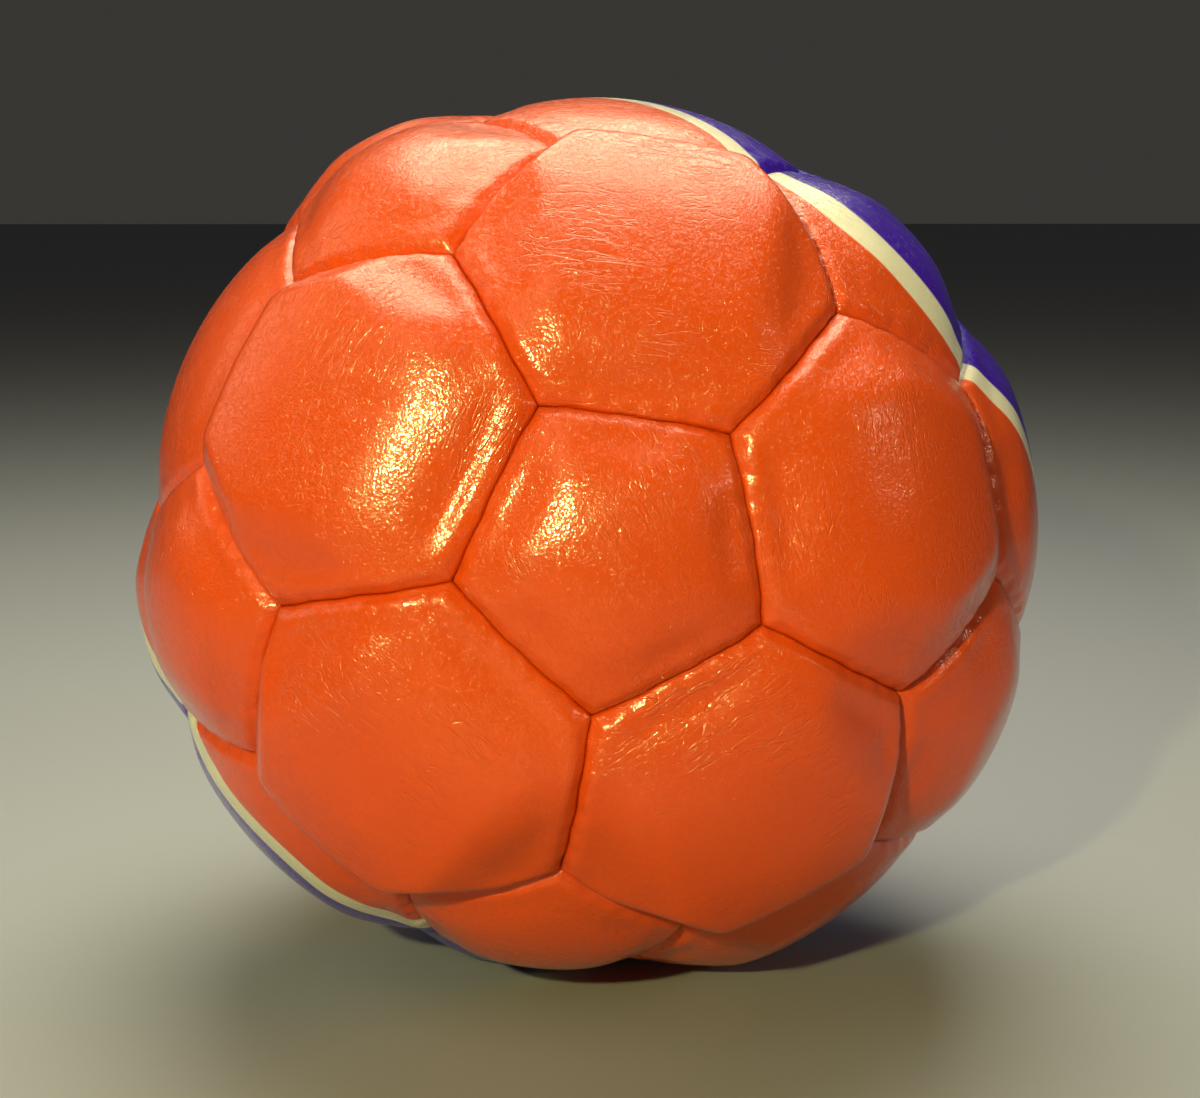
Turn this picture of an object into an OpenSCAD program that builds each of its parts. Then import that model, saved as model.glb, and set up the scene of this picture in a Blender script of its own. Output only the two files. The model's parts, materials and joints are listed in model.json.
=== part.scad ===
// A soft, stuffed medicine ball. Its cover is twelve pentagons and twenty hexagons of leather,
// each with its edges turned in and stitched to its neighbours' edges. Behind every panel lies
// a wadding pad, then a lining bag that holds the stuffing, and in the middle a tied bag of sand.
// The ball rests on the floor at z = 0, where its own weight presses one panel flat.

/* [Ball] */
// Radius over the crowns of the panels
crown_r = 120; // [110:1:130]
// How far the panels' corners lie below their crowns
corner_drop = 5; // [4:0.5:7]
// How far the ball sinks into the panel that it lies on
sag = 4.5; // [3.5:0.5:5.5]

/* [Pattern] */
// Azimuth of the front pentagon, to the right of straight ahead, in degrees
front_azimuth = 4.5; // [0:0.5:9]
// Elevation of the front pentagon, in degrees
front_elevation = 8; // [5:0.5:11]
// Turn of the front pentagon about its own axis, in degrees
front_spin = 45; // [42:0.5:48]

/* [Cover] */
// Thickness of the leather with its fabric backing
leather_t = 1.6; // [1.2:0.1:2.2]
// Depth of the edges that are turned in and stitched
allowance = 6; // [5:0.5:8]
// Gap between two neighbouring panels
seam_gap = 0.2; // [0.1:0.05:0.4]

/* [Stitching] */
// Diameter of the waxed thread
thread_d = 0.9; // [0.6:0.1:1.2]
// Stitches along each edge of a panel
stitches = 7; // [5:1:9]
// How deep in the seam the stitches lie
stitch_depth = 3; // [2:0.5:3.5]

/* [Filling] */
// Thickness of the lining bag's cotton
lining_t = 0.8; // [0.6:0.1:1.5]
// Outer radius of the weight bag
weight_bag_r = 46; // [40:1:55]
// Thickness of the weight bag's canvas
canvas_t = 1; // [0.6:0.1:1.5]

/* [Hidden] */
$fn = 96;
corner_r = crown_r - corner_drop;
centre_z = crown_r - sag;
slack = 0.05;                        // hairline between pieces that lie on each other
hole_w = thread_d + 0.3;             // width of an awl hole across its flats
thread_sides = 6;                    // the seams' thread is drawn six-sided, which keeps it light
flange_r = corner_r - allowance;     // radius that the turned-in edges reach down to
thread_r = corner_r - stitch_depth;  // radius that the stitches lie at
lining_r = flange_r - 0.5;
lining_thread_d = 0.6;
stuffing_r = lining_r - lining_t - slack;
sand_r = weight_bag_r - canvas_t - slack;
neck_r = 7;
neck_h = 12;
frill_r = 14;
frill_h = 7;
tie_d = 2.5;
far = 2 * crown_r;
leather_colour = "#e24a12";
thread_colour = "#7a2412";
cloth_colour = "#d8cfb8";
sand_colour = "#b9a27a";

// Vectors and turns
function unit(v) = v / norm(v);
function total(list, i = 0) = i == len(list) ? [0, 0, 0] : list[i] + total(list, i + 1);
function turned_x(v, a) = [v.x, v.y * cos(a) - v.z * sin(a), v.y * sin(a) + v.z * cos(a)];
function turned_z(v, a) = [v.x * cos(a) - v.y * sin(a), v.x * sin(a) + v.y * cos(a), v.z];
function polar(az, lat) = [cos(lat) * cos(az), cos(lat) * sin(az), sin(lat)];

// The pentagons face along the corners of an icosahedron: one on top, two rings of five, one below.
// The whole pattern then turns so that the top one faces the front.
ring_lat = atan(0.5);
upright = [
    [0, 0, 1],
    for (k = [1:5]) polar(72 * k, ring_lat),
    for (k = [1:5]) polar(72 * k + 36, -ring_lat),
    [0, 0, -1]
];
pentagon_axes = [
    for (v = upright)
        turned_z(turned_x(turned_z(v, front_spin), 90 - front_elevation), front_azimuth)
];
pentagon_ids = [0:11];
function neighbours(i, j) = i != j && pentagon_axes[i] * pentagon_axes[j] > 0.4;

// Two pentagons' axes meet a panel's corner a third of the way along the icosahedron's edge.
function corner(i, j) = unit(2 * pentagon_axes[i] + pentagon_axes[j]);
function clockwise(i, j, k) = cross(pentagon_axes[j], pentagon_axes[k]) * pentagon_axes[i] > 0;
function next_round(i, j) = [
    for (k = pentagon_ids) if (neighbours(i, k) && neighbours(j, k) && clockwise(i, j, k)) k
][0];
function ring(i, j, left) = left == 0 ? [] : concat([j], ring(i, next_round(i, j), left - 1));
function first_neighbour(i) = [for (k = pentagon_ids) if (neighbours(i, k)) k][0];
function pentagon_corners(i) = [for (j = ring(i, first_neighbour(i), 5)) corner(i, j)];

// A hexagon lies between each three pentagons that are each other's neighbours.
hexagon_trios = [
    for (i = pentagon_ids, j = pentagon_ids, k = pentagon_ids)
        if (i < j && i < k && neighbours(i, j) && neighbours(j, k) && neighbours(i, k)
            && clockwise(i, j, k)) [i, j, k]
];
function trio_corners(t) = [
    for (s = [0:2]) each [
        corner(t[s], t[(s + 1) % 3]),
        corner(t[(s + 1) % 3], t[s])
    ]
];

pentagons = [for (i = pentagon_ids) pentagon_corners(i)];
hexagons = [for (t = hexagon_trios) trio_corners(t)];

// Each seam is the pair of corners that it runs between.
seams = concat(
    [for (p = pentagons) each [for (k = [0:4]) [p[k], p[(k + 1) % 5]]]],
    [for (i = pentagon_ids, j = pentagon_ids) if (i < j && neighbours(i, j)) [corner(i, j), corner(j, i)]]
);
function middle(seam) = unit(seam[0] + seam[1]);

// The last panel to be sewn in is the one furthest to the back, and its upper seams are drawn shut from outside.
rearmost = [for (h = hexagons) if (unit(total(h)).y == max([for (g = hexagons) unit(total(g)).y])) h][0];
closing_axis = unit(total(rearmost));
function is_closing(seam) = middle(seam) * closing_axis > 0.9 && middle(seam).z > closing_axis.z;
sewn_seams = [for (s = seams) if (!is_closing(s)) s];
closing_seams = [for (s = seams) if (is_closing(s)) s];

// A panel's dome: a sphere about a point on the panel's axis, through the crown and the corners.
function axis_of(corners) = unit(total(corners));
function rise(corners) = axis_of(corners) * corners[0];
function dome_offset(corners) =
    (crown_r * crown_r - corner_r * corner_r) / (2 * (crown_r - corner_r * rise(corners)));
function edge_lean(corners) = acos(axis_of(corners) * unit(corners[0] + corners[1]));
function lies_on_floor(corners) = axis_of(corners).z < -0.9;

// Modules up to the sub-parts place things about the ball's centre.
module from_centre() {
    translate([0, 0, centre_z]) children();
}

// Everything that is at least h above the floor
module above(h) {
    translate([-far, -far, h - centre_z]) cube(2 * far);
}

// The pyramid under a panel, with its sides moved in
module wedge(corners, set_in) {
    count = len(corners);
    translate(axis_of(corners) * set_in / sin(edge_lean(corners)))
        polyhedron(
            points = [[0, 0, 0], for (c = corners) c * far],
            faces = [
                [for (k = [count:-1:1]) k],
                for (k = [1:count]) [0, k, k % count + 1]
            ]
        );
}

module dome(corners, depth) {
    offset = dome_offset(corners);
    translate(axis_of(corners) * offset) sphere(r = crown_r - offset - depth);
}

// What a panel's outline holds, from its own depth inwards; the panel on the floor is flat below
module cushion(corners, set_in, depth) {
    intersection() {
        wedge(corners, set_in);
        dome(corners, depth);
        if (lies_on_floor(corners)) above(depth);
    }
}

// Turns the children so that x points to the seam's middle and z across the seam
module at_seam(seam) {
    out = middle(seam);
    across = unit(cross(seam[0], seam[1]));
    along = cross(across, out);
    multmatrix([
        [out.x, along.x, across.x, 0],
        [out.y, along.y, across.y, 0],
        [out.z, along.z, across.z, 0],
        [0, 0, 0, 1]
    ]) children();
}

function half_angle(seam) = acos(seam[0] * seam[1]) / 2;
function stitch_pitch(seam) = 2 * half_angle(seam) / (stitches + 1);

// One child at each stitch of a seam
module at_stitches(seam) {
    at_seam(seam)
        for (k = [1:stitches])
            rotate([0, 0, k * stitch_pitch(seam) - half_angle(seam)])
                translate([thread_r, 0, 0]) children();
}

module awl_holes(corners) {
    count = len(corners);
    for (k = [0:count - 1])
        at_stitches([corners[k], corners[(k + 1) % count]])
            cube([hole_w, hole_w, 2 * (seam_gap + leather_t) + 1], center = true);
}

// One leather panel: a domed face with its edges turned in, and a row of holes along each edge
module panel(corners) {
    color(leather_colour)
        from_centre()
            difference() {
                cushion(corners, seam_gap / 2, 0);
                cushion(corners, seam_gap / 2 + leather_t, leather_t);
                sphere(r = flange_r);
                awl_holes(corners);
            }
}

// The wadding behind one panel, which leaves room for the thread beside the turned-in edges
module pad(corners) {
    difference() {
        cushion(corners, seam_gap / 2 + leather_t + thread_d + 2 * slack, leather_t + slack);
        sphere(r = lining_r + slack);
    }
}

// The thread of one seam: a short length through each pair of holes, and a run along each side
module seam_stitches(seam) {
    pitch = stitch_pitch(seam);
    run = (stitches - 1) * pitch;
    side = seam_gap / 2 + leather_t;
    at_stitches(seam) cylinder(d = thread_d, h = 2 * side, center = true, $fn = thread_sides);
    at_seam(seam)
        for (z = [-1, 1])
            translate([0, 0, z * (side + thread_d / 2 + slack)])
                rotate([0, 0, -run / 2])
                    rotate_extrude(angle = run)
                        translate([thread_r, 0]) circle(d = thread_d, $fn = thread_sides);
}

module pentagon_panel(i) {
    panel(pentagons[i - 1]);
}

module hexagon_panel(i) {
    panel(hexagons[i - 1]);
}

module seam_thread() {
    color(thread_colour) from_centre() for (s = sewn_seams) seam_stitches(s);
}

module closing_thread() {
    color(thread_colour) from_centre() for (s = closing_seams) seam_stitches(s);
}

module pentagon_pads() {
    color(cloth_colour) from_centre() for (p = pentagons) pad(p);
}

module hexagon_pads() {
    color(cloth_colour) from_centre() for (h = hexagons) pad(h);
}

// Everything above or below the ball's middle, clear of it by a gap
module half(side, gap) {
    translate([-far, -far, side > 0 ? gap : -2 * far - gap]) cube(2 * far);
}

module lining_bowl(side) {
    color(cloth_colour)
        from_centre()
            intersection() {
                difference() {
                    sphere(r = lining_r);
                    sphere(r = lining_r - lining_t);
                }
                half(side, lining_thread_d / 2 + slack);
            }
}

module lower_lining() {
    lining_bowl(-1);
}

module upper_lining() {
    lining_bowl(1);
}

module lining_thread() {
    color(thread_colour)
        from_centre()
            rotate_extrude() translate([lining_r - lining_t / 2, 0]) circle(d = lining_thread_d);
}

// Textile stuffing packed round the weight bag, with a pocket for the bag's neck in the upper half
module stuffing(side) {
    color(cloth_colour)
        from_centre()
            difference() {
                intersection() {
                    sphere(r = stuffing_r);
                    half(side, slack);
                }
                sphere(r = weight_bag_r + slack);
                if (side > 0) cylinder(r = frill_r + 1, h = weight_bag_r + neck_h + frill_h + 1);
            }
}

module lower_stuffing() {
    stuffing(-1);
}

module upper_stuffing() {
    stuffing(1);
}

// A round canvas bag whose neck is gathered, with a frill above the tie
module weight_bag() {
    color(cloth_colour)
        from_centre() {
            difference() {
                sphere(r = weight_bag_r);
                sphere(r = weight_bag_r - canvas_t);
            }
            translate([0, 0, weight_bag_r - canvas_t / 2]) cylinder(r = neck_r, h = neck_h);
            translate([0, 0, weight_bag_r + neck_h - canvas_t]) cylinder(r1 = neck_r, r2 = frill_r, h = frill_h);
        }
}

module sand() {
    color(sand_colour) from_centre() sphere(r = sand_r);
}

module bag_tie() {
    color(thread_colour)
        from_centre()
            translate([0, 0, weight_bag_r + neck_h / 2])
                rotate_extrude() translate([neck_r + tie_d / 2 + slack, 0]) circle(d = tie_d);
}

function two_digits(i) = i < 10 ? str("0", i) : str(i);
function pentagon_name(i) = str("pentagon_panel_", two_digits(i));
function hexagon_name(i) = str("hexagon_panel_", two_digits(i));

for (i = [1:12]) pentagon_panel(i);
for (i = [1:20]) hexagon_panel(i);
seam_thread();
closing_thread();
pentagon_pads();
hexagon_pads();
lower_lining();
upper_lining();
lining_thread();
lower_stuffing();
upper_stuffing();
weight_bag();
sand();
bag_tie();
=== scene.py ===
"""A soft, stuffed medicine ball: thirty-two stitched leather panels over wadding, a lining bag of
textile stuffing and a tied bag of sand. Lengths are in millimetres until a mesh is made."""

import json
import math

import bpy
import numpy as np
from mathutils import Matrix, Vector

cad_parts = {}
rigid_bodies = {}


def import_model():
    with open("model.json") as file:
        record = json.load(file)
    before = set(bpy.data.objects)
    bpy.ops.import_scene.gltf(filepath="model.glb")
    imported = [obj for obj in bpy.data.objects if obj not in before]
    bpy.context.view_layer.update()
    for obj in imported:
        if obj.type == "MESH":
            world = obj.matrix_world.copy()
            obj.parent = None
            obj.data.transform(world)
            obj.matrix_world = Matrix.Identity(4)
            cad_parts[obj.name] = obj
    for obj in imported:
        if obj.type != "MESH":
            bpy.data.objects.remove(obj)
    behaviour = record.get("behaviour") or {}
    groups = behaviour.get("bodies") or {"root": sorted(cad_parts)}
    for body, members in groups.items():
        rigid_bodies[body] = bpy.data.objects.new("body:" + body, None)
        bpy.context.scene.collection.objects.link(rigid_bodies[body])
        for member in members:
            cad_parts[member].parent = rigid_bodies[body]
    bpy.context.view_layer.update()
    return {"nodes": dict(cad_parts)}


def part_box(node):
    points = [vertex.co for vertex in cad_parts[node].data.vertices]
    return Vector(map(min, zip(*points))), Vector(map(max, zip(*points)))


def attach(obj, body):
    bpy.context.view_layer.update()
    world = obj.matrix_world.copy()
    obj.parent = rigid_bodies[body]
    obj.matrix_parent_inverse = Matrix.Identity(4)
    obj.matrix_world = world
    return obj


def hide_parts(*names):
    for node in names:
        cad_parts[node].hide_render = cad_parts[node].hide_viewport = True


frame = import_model()
MM = 0.001

# ---------------------------------------------------------------- driving sizes and shapes
CROWN_RISE = 6.6        # how far a panel's crown stands above the mouths of the seams
CORNER_DIP = 1.0        # how much lower a seam's mouth is at its ends than in its middle
DOME_R = {5: 78, 6: 92} # radius of a panel's crown, by its number of sides
CLOTH_RISE = 0.4        # what the cloth simulation adds at the crowns
LEATHER = 1.6
HALF_GAP = 0.04         # half the gap between the two leathers of a seam
SIDE_TILT = 10          # degrees that a panel's side rises from a seam, against the ball's own curve
SIDE_SOFTNESS = 0.6     # how softly a side runs into the crown
FILLET = 2.8            # reach of the leather's turn into a seam
SHOULDER = 1.6          # height of that turn
WELT = 0.26             # how far the turned-in edges lift the leather beside a seam
WELT_AT = 3.4           # how far from the seam they do that
DIP_AT = 8.5            # and how far from it the leather dips again
UNEVEN = 0.25           # how far a panel's face swells and sinks
THREAD = 0.9
STITCHES = 7            # to a seam
STITCH_DEPTH = 2.1      # how far below a seam's mouth its stitches lie
STITCH_PULL = 0.18      # how much deeper the leather is drawn at a stitch
SEAM_WANDER = 0.22      # how far a seam swings from side to side
WANDER_REACH = 7        # how far into the panel that is felt
TURN_IN = 3.4           # depth of the turned-in edges
RINGS = {5: 40, 6: 48}  # rings of the panels' meshes, by the number of sides


# ---------------------------------------------------------------- vectors
def unit(v):
    v = np.asarray(v, float)
    return v / np.linalg.norm(v, axis=-1, keepdims=True)


def heading(azimuth, elevation):
    """The direction at an azimuth, to the right of the front, and an elevation, in degrees."""
    a, e = math.radians(azimuth), math.radians(elevation)
    return np.array([math.sin(a) * math.cos(e), -math.cos(a) * math.cos(e), math.sin(e)])


def smooth_step(x):
    x = np.clip(x, 0, 1)
    return x * x * (3 - 2 * x)


def lattice_value(cell, seed):
    """A repeatable value from -1 to 1 for each whole-numbered cell."""
    h = cell[..., 0] * 73856093 ^ cell[..., 1] * 19349663 ^ cell[..., 2] * 83492791 ^ seed * 2654435761
    h = (h ^ (h >> 13)) * 1274126177 & 0x7FFFFFFF
    return (h % 65536) / 32767.5 - 1


def noise(points, scale, seed=0):
    """Smooth value noise from -1 to 1, with features about as large as scale."""
    p = np.asarray(points) / scale + 1000
    base = np.floor(p).astype(np.int64)
    f = p - base
    f = f * f * f * (f * (f * 6 - 15) + 10)
    out = 0
    for corner in np.ndindex(2, 2, 2):
        weight = np.prod(np.where(corner, f, 1 - f), axis=-1)
        out = out + weight * lattice_value(base + corner, seed)
    return out


# ---------------------------------------------------------------- the CAD frame's places
def triangles_of(node):
    """A CAD node's triangles, three corners each, in millimetres."""
    mesh = frame["nodes"][node].data
    mesh.calc_loop_triangles()
    corners = np.array([v.co for v in mesh.vertices]) / MM
    return corners[np.array([t.vertices for t in mesh.loop_triangles])]


def faces_towards(node):
    """The direction from the ball's centre to the middle of a panel's surface."""
    tri = triangles_of(node) - CENTRE
    area = np.linalg.norm(np.cross(tri[:, 1] - tri[:, 0], tri[:, 2] - tri[:, 0]), axis=1)
    return unit((tri.mean(1) * area[:, None]).sum(0))


CENTRE = np.array(sum(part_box("sand"), Vector()) / 2) / MM
PENTAGONS = sorted(n for n in frame["nodes"] if n.startswith("pentagon_panel"))
HEXAGONS = sorted(n for n in frame["nodes"] if n.startswith("hexagon_panel"))
CROWN_R = np.linalg.norm(triangles_of(PENTAGONS[0]) - CENTRE, axis=2).max() - CLOTH_RISE
MOUTH_R = CROWN_R - CROWN_RISE
LINING_R = (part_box("lower_lining")[1][0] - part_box("lower_lining")[0][0]) / MM / 2
AXES = np.array([faces_towards(n) for n in PENTAGONS])


class Panel:
    """One panel's place in the pattern: the way it faces, its corners, and what lies beyond each side."""

    def __init__(self, node):
        self.node = node
        self.axis = faces_towards(node)
        near = np.argsort(-AXES @ self.axis)
        if node in PENTAGONS:
            here = PENTAGONS.index(node)
            self.axis = AXES[here]
            round_it = self.sorted_round(near[1:6])
            self.ids = [(here, j) for j in round_it]
        else:
            trio = self.sorted_round(near[:3])
            pairs = [(trio[k], trio[(k + 1) % 3]) for k in range(3)]
            self.ids = [pair for a, b in pairs for pair in ((a, b), (b, a))]
            self.axis = unit(AXES[trio].sum(0))
        self.corners = np.array([unit(2 * AXES[i] + AXES[j]) for i, j in self.ids])
        self.count = len(self.ids)
        following = np.roll(self.corners, -1, 0)
        self.inward = unit(np.cross(self.corners, following))
        self.middle = unit(self.corners + following)
        self.along = np.cross(self.inward, self.middle)
        self.half = np.arccos((self.corners * self.middle).sum(1))
        ends = [(self.ids[k], self.ids[(k + 1) % self.count]) for k in range(self.count)]
        self.keys = [frozenset(pair) for pair in ends]
        # the way the leather has worn in lines: along a ridge that faces the front pentagon
        front = AXES[np.argmax(AXES @ heading(4, 8))]
        line = np.cross(front, self.axis)
        self.fold_way = unit(line if np.linalg.norm(line) > 0.2 else np.cross(self.axis, heading(60, 30)))
        # both panels at a seam count along it the same way, from its lower corner number to its higher
        self.sense = np.array([1 if start < end else -1 for start, end in ends])

    def sorted_round(self, which):
        x = unit(np.cross(self.axis, [0.3, 0.5, 0.8]))
        y = np.cross(self.axis, x)
        return sorted(which, key=lambda j: math.atan2(AXES[j] @ y, AXES[j] @ x))


PANELS = {n: Panel(n) for n in PENTAGONS + HEXAGONS}
SEAMS = sorted({tuple(sorted(key)) for p in PANELS.values() for key in p.keys})
BESIDE = {s: [n for n, p in PANELS.items() if frozenset(s) in p.keys] for s in SEAMS}


def facing(azimuth, elevation):
    """The panel that faces nearest that way."""
    return max(PANELS, key=lambda n: PANELS[n].axis @ heading(azimuth, elevation))


# ---------------------------------------------------------------- the cover's shape
# where the stuffing has settled: azimuth, elevation, rise in mm, reach in degrees
SETTLED = [
    (-90, 26, -7.5, 14),
    (-110, 63, 2.0, 18),
    (70, 82, -4.4, 16),
    (84, -18, 5.0, 18),
    (75, -42, 3.5, 15),
    (-62, -48, -1.6, 20),
    (-6, -58, -3.5, 18),
    (60, 50, 0.8, 20),
    (130, 10, -1.5, 20),
    (-140, 30, -1.2, 25),
    (160, -50, 0.8, 22),
    (-150, -30, 0.8, 20),
]
# the front pentagon has sunk, so the five hexagons round it fold along their long diagonals
SUNK = facing(4, 8)
SUNK_BY = 5.3
SUNK_REACH = 27         # degrees from its middle that the layers below have sunk too
FOLD_SEAM_R = 110.8     # radius of the cover's surface beside the sunk panel
FOLD_ARC_R = 80         # radius of a folded hexagon's near half, from its ridge to the sunk seam
FOLD_LENGTH_R = 260     # radius along its ridge
# what a folded hexagon's far half stands over a plain crown, and the tilt at its far seams
FAR_HALF = {
    facing(-31, 23): (4.5, 30),
    facing(12, 45): (7.0, 42),
    facing(42, 12): (1.2, 14),
    facing(-22, -18): (4.8, 36),
    facing(22, -25): (4.0, 33),
}
FAR_MIDDLE = 0.26       # where it is fullest, as an angle from the ridge in radians
FAR_REACH = 0.11        # how far that reaches, in radians
FOLDED = [n for n in HEXAGONS if PANELS[n].axis @ PANELS[SUNK].axis > 0.7]


def dome(sides, cosine):
    """Radius of a panel's crown, by the cosine of the angle from the panel's axis."""
    behind = CROWN_R - DOME_R[sides]
    return behind * cosine + np.sqrt(DOME_R[sides] ** 2 - behind**2 * (1 - cosine**2))


def fold(node, u):
    """Radii, in the directions u, of a folded hexagon's near half and of its far half."""
    panel = PANELS[node]
    k = [i for i, key in enumerate(panel.keys) if key in PANELS[SUNK].keys][0]
    to_seam = math.asin(panel.inward[k] @ panel.axis)
    from_ridge = to_seam - np.arcsin(np.clip(u @ panel.inward[k], -1, 1))
    # the near half is an arc from the ridge, at the crown's radius, down to the sunk seam
    ridge = np.array([0, CROWN_R])
    low = FOLD_SEAM_R * np.array([math.sin(to_seam), math.cos(to_seam)])
    chord = low - ridge
    out = unit(np.array([-chord[1], chord[0]]))
    out = out if out[1] > 0 else -out
    middle = (ridge + low) / 2 - out * math.sqrt(FOLD_ARC_R**2 - chord @ chord / 4)
    ahead = np.sin(from_ridge) * middle[0] + np.cos(from_ridge) * middle[1]
    near = ahead + np.sqrt(np.maximum(FOLD_ARC_R**2 - middle @ middle + ahead**2, 0))
    far = dome(6, np.cos(from_ridge))
    # the filling has moved away from the fold, so the far half is fuller than a plain crown
    far += FAR_HALF[node][0] * np.exp(-(((from_ridge + FAR_MIDDLE) / FAR_REACH) ** 2) / 2)
    # along the ridge the panel is nearly straight
    sideways = np.clip(u @ panel.along[k], -0.6, 0.6)
    beyond = CROWN_R - FOLD_LENGTH_R
    reach = np.sqrt(FOLD_LENGTH_R**2 - (beyond * sideways) ** 2)
    raised = beyond * np.sqrt(1 - sideways**2) + reach - CROWN_R
    return near + raised, far + raised


def settled(u):
    """How far the cover stands out of, or lies below, its even shape."""
    out = np.zeros(u.shape[:-1])
    for azimuth, elevation, rise, reach in SETTLED:
        angle = np.degrees(np.arccos(np.clip(u @ heading(azimuth, elevation), -1, 1)))
        out += rise * np.exp(-((angle / reach) ** 2) / 2)
    return out


def sunk(u):
    """The same for the layers under the cover, which have sunk with the front pentagon too."""
    angle = np.degrees(np.arccos(np.clip(u @ PANELS[SUNK].axis, -1, 1)))
    return settled(u) - SUNK_BY * np.exp(-((angle / SUNK_REACH) ** 4) / 2)


def soft_min(values, softness):
    """The least of the values along the last axis, rounded where they cross."""
    low = values.min(-1, keepdims=True)
    return low[..., 0] - softness * np.log(np.exp((low - values) / softness).sum(-1))


def mouth_radius(key, u):
    """Radius at which the leathers of a seam part, in the directions u along it."""
    out = MOUTH_R + settled(u)
    for node in BESIDE[tuple(sorted(key))]:
        if node in FOLDED:
            out = np.minimum(out, fold(node, u)[0] - SHOULDER - 0.6)
    return out


def stitch_pull(t):
    """1 at a stitch and 0 between two of them; t runs from -1 to 1 along a seam."""
    wave = 0.5 - 0.5 * np.cos(math.pi * STITCHES * (t + 1))
    return wave ** 1.5 * smooth_step((1.02 - abs(t)) * 8)


def seam_wander(panel, k, t):
    """How far a seam lies off its own line, towards the inside of this panel."""
    seam = SEAMS.index(tuple(sorted(panel.keys[k])))
    way = 1 if panel.node == BESIDE[SEAMS[seam]][0] else -1
    t = t * panel.sense[k]
    swing = 0.6 * np.sin(math.pi * STITCHES * (t + 1) / 2 + seam) + 0.7 * np.sin(3.1 * t + 1.7 * seam)
    return way * SEAM_WANDER * swing * smooth_step((1 - abs(t)) * 4)


def surface(panel, u):
    """Radius of the panel's outer surface in the directions u, the distance from a seam, and the place
    along each side."""
    sides = panel.count
    theta = np.arcsin(np.clip(u @ panel.inward.T, -1, 1))
    t = np.arcsin(np.clip(u @ panel.along.T, -1, 1)) / panel.half
    d = np.maximum(theta, 0) * MOUTH_R
    fold_side = [i for i, key in enumerate(panel.keys) if panel.node in FOLDED and key in PANELS[SUNK].keys]
    limits = []
    for k in range(sides):
        # a folded hexagon bulges over its three far seams
        far_side = fold_side and 2 <= (k - fold_side[0]) % sides <= 4
        tilt = math.radians(FAR_HALF[panel.node][1] if far_side else SIDE_TILT)
        foot = unit(u - (u @ panel.inward[k])[:, None] * panel.inward[k])
        shoulder = mouth_radius(panel.keys[k], foot) + SHOULDER
        limits.append(shoulder * math.cos(tilt) / np.cos(np.clip(theta[:, k] + tilt, 0, 1.2)))
    if panel.node in FOLDED:
        limits += fold(panel.node, u)
    else:
        lowered = SUNK_BY if panel.node == SUNK else 0
        crown = dome(sides, np.clip(u @ panel.axis, -1, 1))
        limits.append(crown + settled(panel.axis[None, :]) - lowered)
    nearest = d.min(-1)
    uneven = UNEVEN * noise(u * 100, 24, 5) * smooth_step(nearest / 12)
    r = soft_min(np.stack(limits, -1), SIDE_SOFTNESS) + uneven
    # the turn into the seam, wider at a stitch, and the leather drawn down there
    pull = stitch_pull(np.clip(t, -1.05, 1.05))
    turn = np.clip(1 - d / (FILLET * (1 + 0.2 * pull)), 0, 1)
    drop = SHOULDER * (1 - np.sqrt(np.maximum(1 - turn**2, 0)))
    drop += STITCH_PULL * pull * np.exp(-((d / 3.0) ** 2))
    drop += CORNER_DIP * np.clip(abs(t), 0, 1) ** 2 * np.exp(-((d / 5) ** 2))
    # the turned-in edges lift the leather beside a seam, and it dips again behind them
    lift = WELT * np.exp(-(((nearest - WELT_AT) / 1.9) ** 2))
    dip = 0.8 * WELT * np.exp(-(((nearest - DIP_AT) / 3.2) ** 2))
    return r - drop.max(-1) + (lift - dip), nearest, t


def ring_directions(panel, count, fraction):
    """Directions round the panel, count to a side, at a fraction of the way from its middle to its seams."""
    middle = panel.corners.mean(0)
    if count == 0:
        return unit(middle)[None, :]
    v = (np.arange(count) / count)[None, :, None]
    following = np.roll(panel.corners, -1, 0)
    edge = panel.corners[:, None, :] * (1 - v) + following[:, None, :] * v
    return unit(middle * (1 - fraction) + edge.reshape(-1, 3) * fraction)


def zip_rings(first, a, second, b, sides):
    """Triangles between two rings: they begin at vertices first and second, and have a and b to a side."""
    out = []
    total_a, total_b = max(a * sides, 1), b * sides
    for k in range(sides):
        i = j = 0
        while i < a or j < b:
            here = first + (k * a + i) % total_a
            there = second + (k * b + j) % total_b
            if j < b and (i == a or (j + 1) * a <= (i + 1) * b):
                out.append((here, there, second + (k * b + j + 1) % total_b))
                j += 1
            else:
                out.append((here, there, first + (k * a + i + 1) % total_a))
                i += 1
    return out


def skin(starts, counts, sides):
    """Triangles between all rings of a closed skin, whether the rings grow or shrink."""
    faces = []
    for i in range(len(counts) - 1):
        if counts[i + 1] >= counts[i]:
            faces += zip_rings(starts[i], counts[i], starts[i + 1], counts[i + 1], sides)
        else:
            flipped = zip_rings(starts[i + 1], counts[i + 1], starts[i], counts[i], sides)
            faces += [(a, c, b) for a, b, c in flipped]
    return faces


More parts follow.
